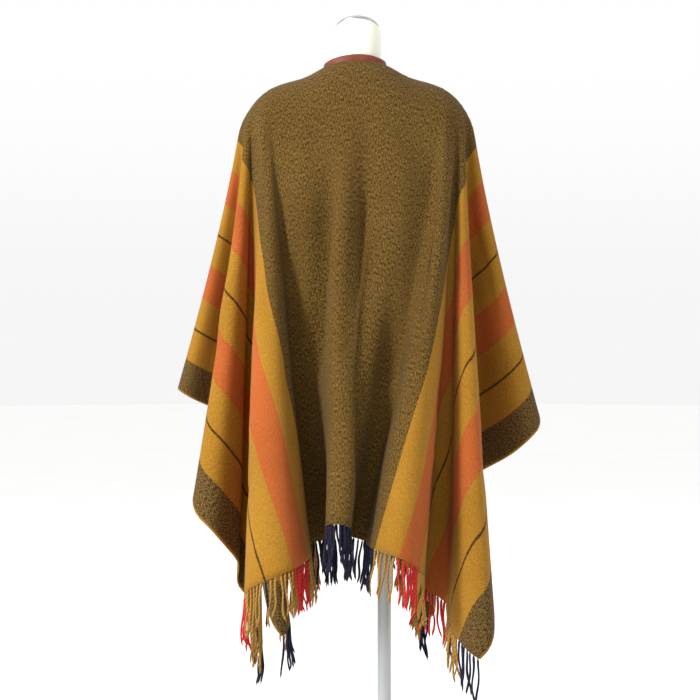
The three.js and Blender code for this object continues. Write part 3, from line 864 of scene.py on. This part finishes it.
class Shading:
    """A node tree that is written as sums and plain calls."""

    def __init__(self, tree):
        self.tree = tree

    def node(self, kind, settings, values, output=0):
        """Adds a node: settings first, then the values or links of its sockets."""
        made = self.tree.nodes.new(kind)
        for name, setting in settings.items():
            setattr(made, name, setting)
        for name, value in values.items():
            if isinstance(value, Value):
                self.tree.links.new(value.socket, made.inputs[name])
            else:
                made.inputs[name].default_value = value
        return Value(self, made.outputs[output])

    def mix(self, factor, first, second, blend="MIX"):
        """Mixes two colours."""
        settings = {"data_type": "RGBA", "blend_type": blend}
        values = {0: factor, 6: first, 7: second}
        return self.node("ShaderNodeMix", settings, values, output=2)

    def noise(self, scale, detail=2.0, vector=None):
        """Noise over the piece, from 0 to 1, in cycles for each metre."""
        vector = vector or self.node("ShaderNodeTexCoord", {}, {}, output=3)
        values = {"Vector": vector, "Scale": scale, "Detail": detail}
        return self.node("ShaderNodeTexNoise", {}, values)

    def part(self, vector, axis):
        return self.node("ShaderNodeSeparateXYZ", {}, {0: vector}, output=axis)

    def smooth(self, value, low, high):
        """0 below the low value, 1 above the high one, with a soft change."""
        settings = {"interpolation_type": "SMOOTHSTEP"}
        return self.node("ShaderNodeMapRange", settings, {0: value, 1: low, 2: high})

    def above(self, value, limit):
        return value.sum("GREATER_THAN", value, limit)


class Finish(Shading):
    """One material: its node tree and its Principled shader."""

    def __init__(self, name, roughness, metallic=0.0, sheen=0.0, gloss=0.5):
        self.material = bpy.data.materials.new(name)
        self.material.use_nodes = True
        super().__init__(self.material.node_tree)
        self.shader = self.tree.nodes["Principled BSDF"]
        self.shader.inputs["Roughness"].default_value = roughness
        self.shader.inputs["Metallic"].default_value = metallic
        self.shader.inputs["Sheen Weight"].default_value = sheen
        self.shader.inputs["Specular IOR Level"].default_value = gloss

    def place(self):
        """The two numbers that each piece keeps at its face corners."""
        return self.node("ShaderNodeUVMap", {"uv_map": "place"}, {})

    def feed(self, name, value):
        self.tree.links.new(value.socket, self.shader.inputs[name])

    def relief(self, height, depth):
        """Bump whose depth is in millimetres."""
        values = {"Height": height, "Distance": depth * MM, "Strength": 1.0}
        self.feed("Normal", self.node("ShaderNodeBump", {}, values))


def colour(red, green, blue):
    """Colour as a camera records it, from 0 to 255, as light."""
    part = np.array([red, green, blue]) / 255
    light = np.where(part <= 0.04045, part / 12.92, ((part + 0.055) / 1.055) ** 2.4)
    return (*light.tolist(), 1.0)


# %% [markdown]
# The blanket's bands run with the warp, so their colour depends only on the
# distance from the middle, and both halves match. The brown parts mix a dark
# warp with a tan weft in a herringbone; the bands are the same weave in two
# close tones. Brushing the wool blurs the weave, so fine noise goes on top.

# %% Wool finish
WHITE = colour(255, 255, 255)
# Lengths of the weave in metres: the herringbone's columns and one twill line
ZIGZAG_WIDTH, ZIGZAG_SHIFT = 0.014, 0.012
TWILL_LINE = 0.0038
# Flecks are drawn out along the warp, and the edges of the bands stray a little
FLECK_STRETCH = (1.0, 0.36, 1.0)
BAND_WANDER = 0.0012
# How much twill and flecks bring the weft forward, and how much it shows anyway
TWILL_WEIGHT, FLECK_WEIGHT, WEFT_SHARE = 0.4, 2.4, 0.27
BROWN_DARK, BROWN_LIGHT = colour(46, 33, 14), colour(134, 104, 47)
OCHRE_DARK, OCHRE_LIGHT = colour(152, 106, 32), colour(176, 130, 44)
ORANGE_DARK, ORANGE_LIGHT = colour(166, 84, 38), colour(184, 100, 48)
LINE_DARK, LINE_LIGHT = colour(50, 32, 12), colour(104, 72, 26)
EDGE_DARK, EDGE_LIGHT = colour(46, 34, 18), colour(132, 104, 56)
# Where each band starts, with its dark warp and its light weft
BANDS = [
    (0, BROWN_DARK, BROWN_LIGHT),
    (279, OCHRE_DARK, OCHRE_LIGHT),
    (334, ORANGE_DARK, ORANGE_LIGHT),
    (396, OCHRE_DARK, OCHRE_LIGHT),
    (451, LINE_DARK, LINE_LIGHT),
    (455, OCHRE_DARK, OCHRE_LIGHT),
    (510, ORANGE_DARK, ORANGE_LIGHT),
    (572, OCHRE_DARK, OCHRE_LIGHT),
    (627, LINE_DARK, LINE_LIGHT),
    (631, OCHRE_DARK, OCHRE_LIGHT),
    (686, EDGE_DARK, EDGE_LIGHT),
    (742, OCHRE_DARK, OCHRE_LIGHT),
]


def banded(finish, from_middle, bands, column=1):
    """Colour by the distance from the middle of the blanket, in metres."""
    shade = bands[0][column]
    for band in bands[1:]:
        shade = finish.mix(finish.above(from_middle, band[0] * MM), shade, band[column])
    return shade


def wool_finish():
    finish = Finish("banded_wool", roughness=0.95, sheen=0.03, gloss=0.12)
    place = finish.place()
    across, down = finish.part(place, 0), finish.part(place, 1)
    wander = finish.noise(420, 1.0, place)
    from_middle = abs(across) + (wander - 0.5) * BAND_WANDER
    dark_warp = banded(finish, from_middle, BANDS, 1)
    light_weft = banded(finish, from_middle, BANDS, 2)
    zigzag = across.wave(ZIGZAG_WIDTH) * ZIGZAG_SHIFT
    twill = ((down + zigzag) * (2 * math.pi / TWILL_LINE)).sine() * 0.5 + 0.5
    stretched = finish.node(
        "ShaderNodeVectorMath", {"operation": "MULTIPLY"}, {0: place, 1: FLECK_STRETCH}
    )
    flecks = finish.noise(540, 2.0, stretched)
    weft = twill * TWILL_WEIGHT + (flecks - 0.5) * FLECK_WEIGHT + WEFT_SHARE
    woven = finish.mix(finish.smooth(weft, 0.0, 1.0), dark_warp, light_weft)
    cloud = finish.noise(7, 3.0, place)
    shade = finish.mix(cloud, WHITE, colour(214, 206, 196))
    finish.feed("Base Color", finish.mix(1.0, woven, shade, "MULTIPLY"))
    nap = finish.noise(900, 2.0, place)
    finish.relief(twill * 0.4 + flecks * 0.6 + nap * 0.6, 0.6)
    return finish.material


# %% [markdown]
# The strands keep the colours of their warp ends: navy from the brown parts,
# red from the orange ones. The second number of a strand's place counts its
# turns, so a wave of it draws the groove between the two plies.

# %% Fringe finish
NAVY = colour(34, 33, 54)
RED = colour(206, 48, 44)
YARN_OCHRE = colour(172, 130, 60)
YARN_BLACK = colour(40, 34, 30)
YARNS = [
    (0, NAVY),
    (279, YARN_OCHRE),
    (334, RED),
    (396, YARN_OCHRE),
    (450, YARN_BLACK),
    (457, YARN_OCHRE),
    (510, RED),
    (572, YARN_OCHRE),
    (626, YARN_BLACK),
    (633, YARN_OCHRE),
    (686, NAVY),
]


def fringe_finish():
    finish = Finish("twisted_wool_yarn", roughness=0.92, sheen=0.04, gloss=0.15)
    place = finish.place()
    across, turns = finish.part(place, 0), finish.part(place, 1)
    yarn = banded(finish, abs(across), YARNS)
    groove = abs((turns * (2 * math.pi)).sine())
    ply = groove**0.5
    shadow = finish.mix(1.0, yarn, colour(120, 108, 100), "MULTIPLY")
    fuzz = finish.noise(1400, 2.0)
    lit = finish.mix(ply * 0.75 + fuzz * 0.3, shadow, yarn)
    finish.feed("Base Color", lit)
    finish.relief(ply + fuzz * 0.4, 0.7)
    return finish.material


# %% [markdown]
# Binding leather is smooth with fine pores, and a painted highlight makes it paler along its
# lower edge.
# The cover of the form is a tight knit, almost flat in colour. The metals share
# one recipe of soft clouds and fine grain, and differ in colour and gloss.

# %% Leather, cover and metal finishes
# Where the painted highlight on the lower edge starts and ends, as shares of the way round the
# strip
PAINTED_HIGHLIGHT_START, PAINTED_HIGHLIGHT_END = (0.86, 0.88), (0.95, 0.97)


def leather_finish():
    finish = Finish("binding_leather", roughness=0.5, gloss=0.3)
    pores = finish.noise(1300, 3.0)
    clouds = finish.noise(60, 2.0)
    worn = finish.mix(clouds, colour(96, 42, 26), colour(134, 66, 44))
    around = finish.part(finish.place(), 1)
    # Painted highlight: the lower edge of the strip is mixed toward a pale colour
    painted_highlight = finish.smooth(around, *PAINTED_HIGHLIGHT_START) - finish.smooth(around, *PAINTED_HIGHLIGHT_END)
    finish.feed("Base Color", finish.mix(painted_highlight * 0.6, worn, colour(196, 132, 100)))
    finish.feed("Roughness", pores * 0.25 + 0.38)
    finish.relief(pores, 0.25)
    return finish.material


def thread_finish(name, shade):
    finish = Finish(name, roughness=0.75)
    fuzz = finish.noise(2200, 1.0)
    dark = finish.mix(1.0, shade, colour(170, 165, 160), "MULTIPLY")
    finish.feed("Base Color", finish.mix(fuzz, dark, shade))
    finish.relief(fuzz, 0.1)
    return finish.material


def cover_finish():
    finish = Finish("cream_cover", roughness=0.62)
    knit = finish.noise(1500, 1.0)
    clouds = finish.noise(6, 2.0)
    finish.feed("Base Color", finish.mix(clouds, colour(252, 251, 238), colour(244, 241, 222)))
    finish.relief(knit, 0.12)
    return finish.material


def metal_finish(name, light, dark, roughness, metallic):
    finish = Finish(name, roughness, metallic)
    clouds = finish.noise(14, 3.0)
    grain = finish.noise(700, 2.0)
    finish.feed("Base Color", finish.mix(clouds, light, dark))
    finish.feed("Roughness", grain * 0.16 + (roughness - 0.08))
    finish.relief(grain, 0.03)
    return finish.material


wool = wool_finish()
yarn = fringe_finish()
leather = leather_finish()
binding_yarn = thread_finish("binding_thread", colour(120, 62, 44))
edge_yarn = thread_finish("edge_thread", colour(120, 92, 50))
cover = cover_finish()
cap_metal = metal_finish("cap_metal", colour(196, 198, 200), colour(172, 174, 178), 0.34, 1.0)
stand_metal = metal_finish("stand_paint", colour(182, 186, 184), colour(170, 174, 172), 0.38, 0.3)

# %% [markdown]
# Each new piece now takes the place of the CAD node that it refines and rides
# on the one body.

# %% Pieces take their places
PIECES = [
    (cloth, wool, "wool_cloth", ["poncho_cloth"]),
    (fringe_back, yarn, "wool_fringe", ["fringe_back"]),
    (fringe_left, yarn, "wool_fringe", ["fringe_front_left"]),
    (fringe_right, yarn, "wool_fringe", ["fringe_front_right"]),
    (binding, leather, "binding_leather", ["neck_binding"]),
    (binding_thread, binding_yarn, "binding_leather", []),
    (thread_left, edge_yarn, "wool_cloth", []),
    (thread_right, edge_yarn, "wool_cloth", []),
    (form, cover, "form_cover", ["dress_form"]),
    (cap, cap_metal, "cap_metal", ["neck_cap"]),
    (pole, stand_metal, "stand_metal", ["stand_pole"]),
    (flange, stand_metal, "stand_metal", ["pole_flange"]),
    (base, stand_metal, "stand_metal", ["stand_base"]),
]
for piece, finish, slot, nodes in PIECES:
    piece.data.materials.append(finish)
    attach(piece, "root")
    if nodes:
        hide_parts(*nodes)

# %% [markdown]
# The camera stands behind the form at waist height, 3.6 m away, with the lens
# of a portrait. The key light comes from the camera's left, a weak one fills in
# from its right, and one from beyond the form lights the shoulders. A surround
# of one brightness would wash out the folds, so it is bright beyond the form,
# where it makes the pale backdrop, and dim behind the camera.

# %% Camera, floor and light
CAMERA_PLACE = Vector((0.05, 3.6, 1.0))
CAMERA_TARGET = Vector((0.063, 0, 0.893))
VIEW_ANGLE = 20.17
FLOOR_RADIUS, FLOOR_SIDES, FLOOR_Z = 14000, 64, -1.0
CAMERA_SIDE_GLOW = 0.12
BACKDROP_GLOW, HAZE_GLOW = 0.8, 0.08
CEILING_GLOW, CEILING_LOSS = 1.1, 0.7


def look_at(thing, place, target):
    thing.location = place
    thing.rotation_euler = (target - place).to_track_quat("-Z", "Y").to_euler()


lens = bpy.data.cameras.new("camera")
lens.angle = math.radians(VIEW_ANGLE)
camera = bpy.data.objects.new("camera", lens)
bpy.context.scene.collection.objects.link(camera)
look_at(camera, CAMERA_PLACE, CAMERA_TARGET)
bpy.context.scene.camera = camera

turn = np.linspace(0, 2 * np.pi, FLOOR_SIDES + 1)[None]
floor_radius = np.array([[0.0], [FLOOR_RADIUS]])
floor_x, floor_y = floor_radius * np.cos(turn), floor_radius * np.sin(turn)
floor_points = np.stack([floor_x, floor_y, np.full_like(floor_x, FLOOR_Z)], -1)
floor = surface("studio_floor", floor_points, floor_points[..., :2] * MM)
floor_paint = Finish("pale_floor", roughness=0.85)
patches = floor_paint.noise(3, 2.0)
floor_shade = floor_paint.mix(patches, colour(234, 234, 233), colour(229, 229, 228))
floor_paint.feed("Base Color", floor_shade)
floor.data.materials.append(floor_paint.material)


def soft_light(name, place, target, size, power):
    light = bpy.data.lights.new(name, "AREA")
    light.shape = "DISK"
    light.size = size
    light.energy = power
    lamp = bpy.data.objects.new(name, light)
    bpy.context.scene.collection.objects.link(lamp)
    look_at(lamp, Vector(place), Vector(target))


soft_light("key_light", (3.1, 3.0, 2.3), (0.05, 0, 0.9), 0.8, 205)
soft_light("side_light", (-3.6, 1.4, 2.0), (0.05, 0, 0.9), 1.6, 20)
soft_light("far_light", (0.4, -4.0, 3.4), (0.05, 0, 1.0), 2.4, 40)

# A dim glow all round, and more light beyond the form and overhead
world = bpy.data.worlds.new("studio")
world.use_nodes = True
surround = Shading(world.node_tree)
direction = surround.node("ShaderNodeTexCoord", {}, {})
behind_form = surround.smooth(surround.part(direction, 1), 0.5, -0.5)
overhead = surround.smooth(surround.part(direction, 2), 0.25, 0.6)
haze = surround.smooth(surround.part(direction, 2), -0.01, 0.12)
strength = CAMERA_SIDE_GLOW + behind_form * (BACKDROP_GLOW + haze * HAZE_GLOW)
strength = strength + overhead * (CEILING_GLOW - behind_form * CEILING_LOSS)
backdrop = world.node_tree.nodes["Background"]
world.node_tree.links.new(strength.socket, backdrop.inputs["Strength"])
backdrop.inputs["Color"].default_value = WHITE
bpy.context.scene.world = world
bpy.context.scene.view_settings.view_transform = "Standard"
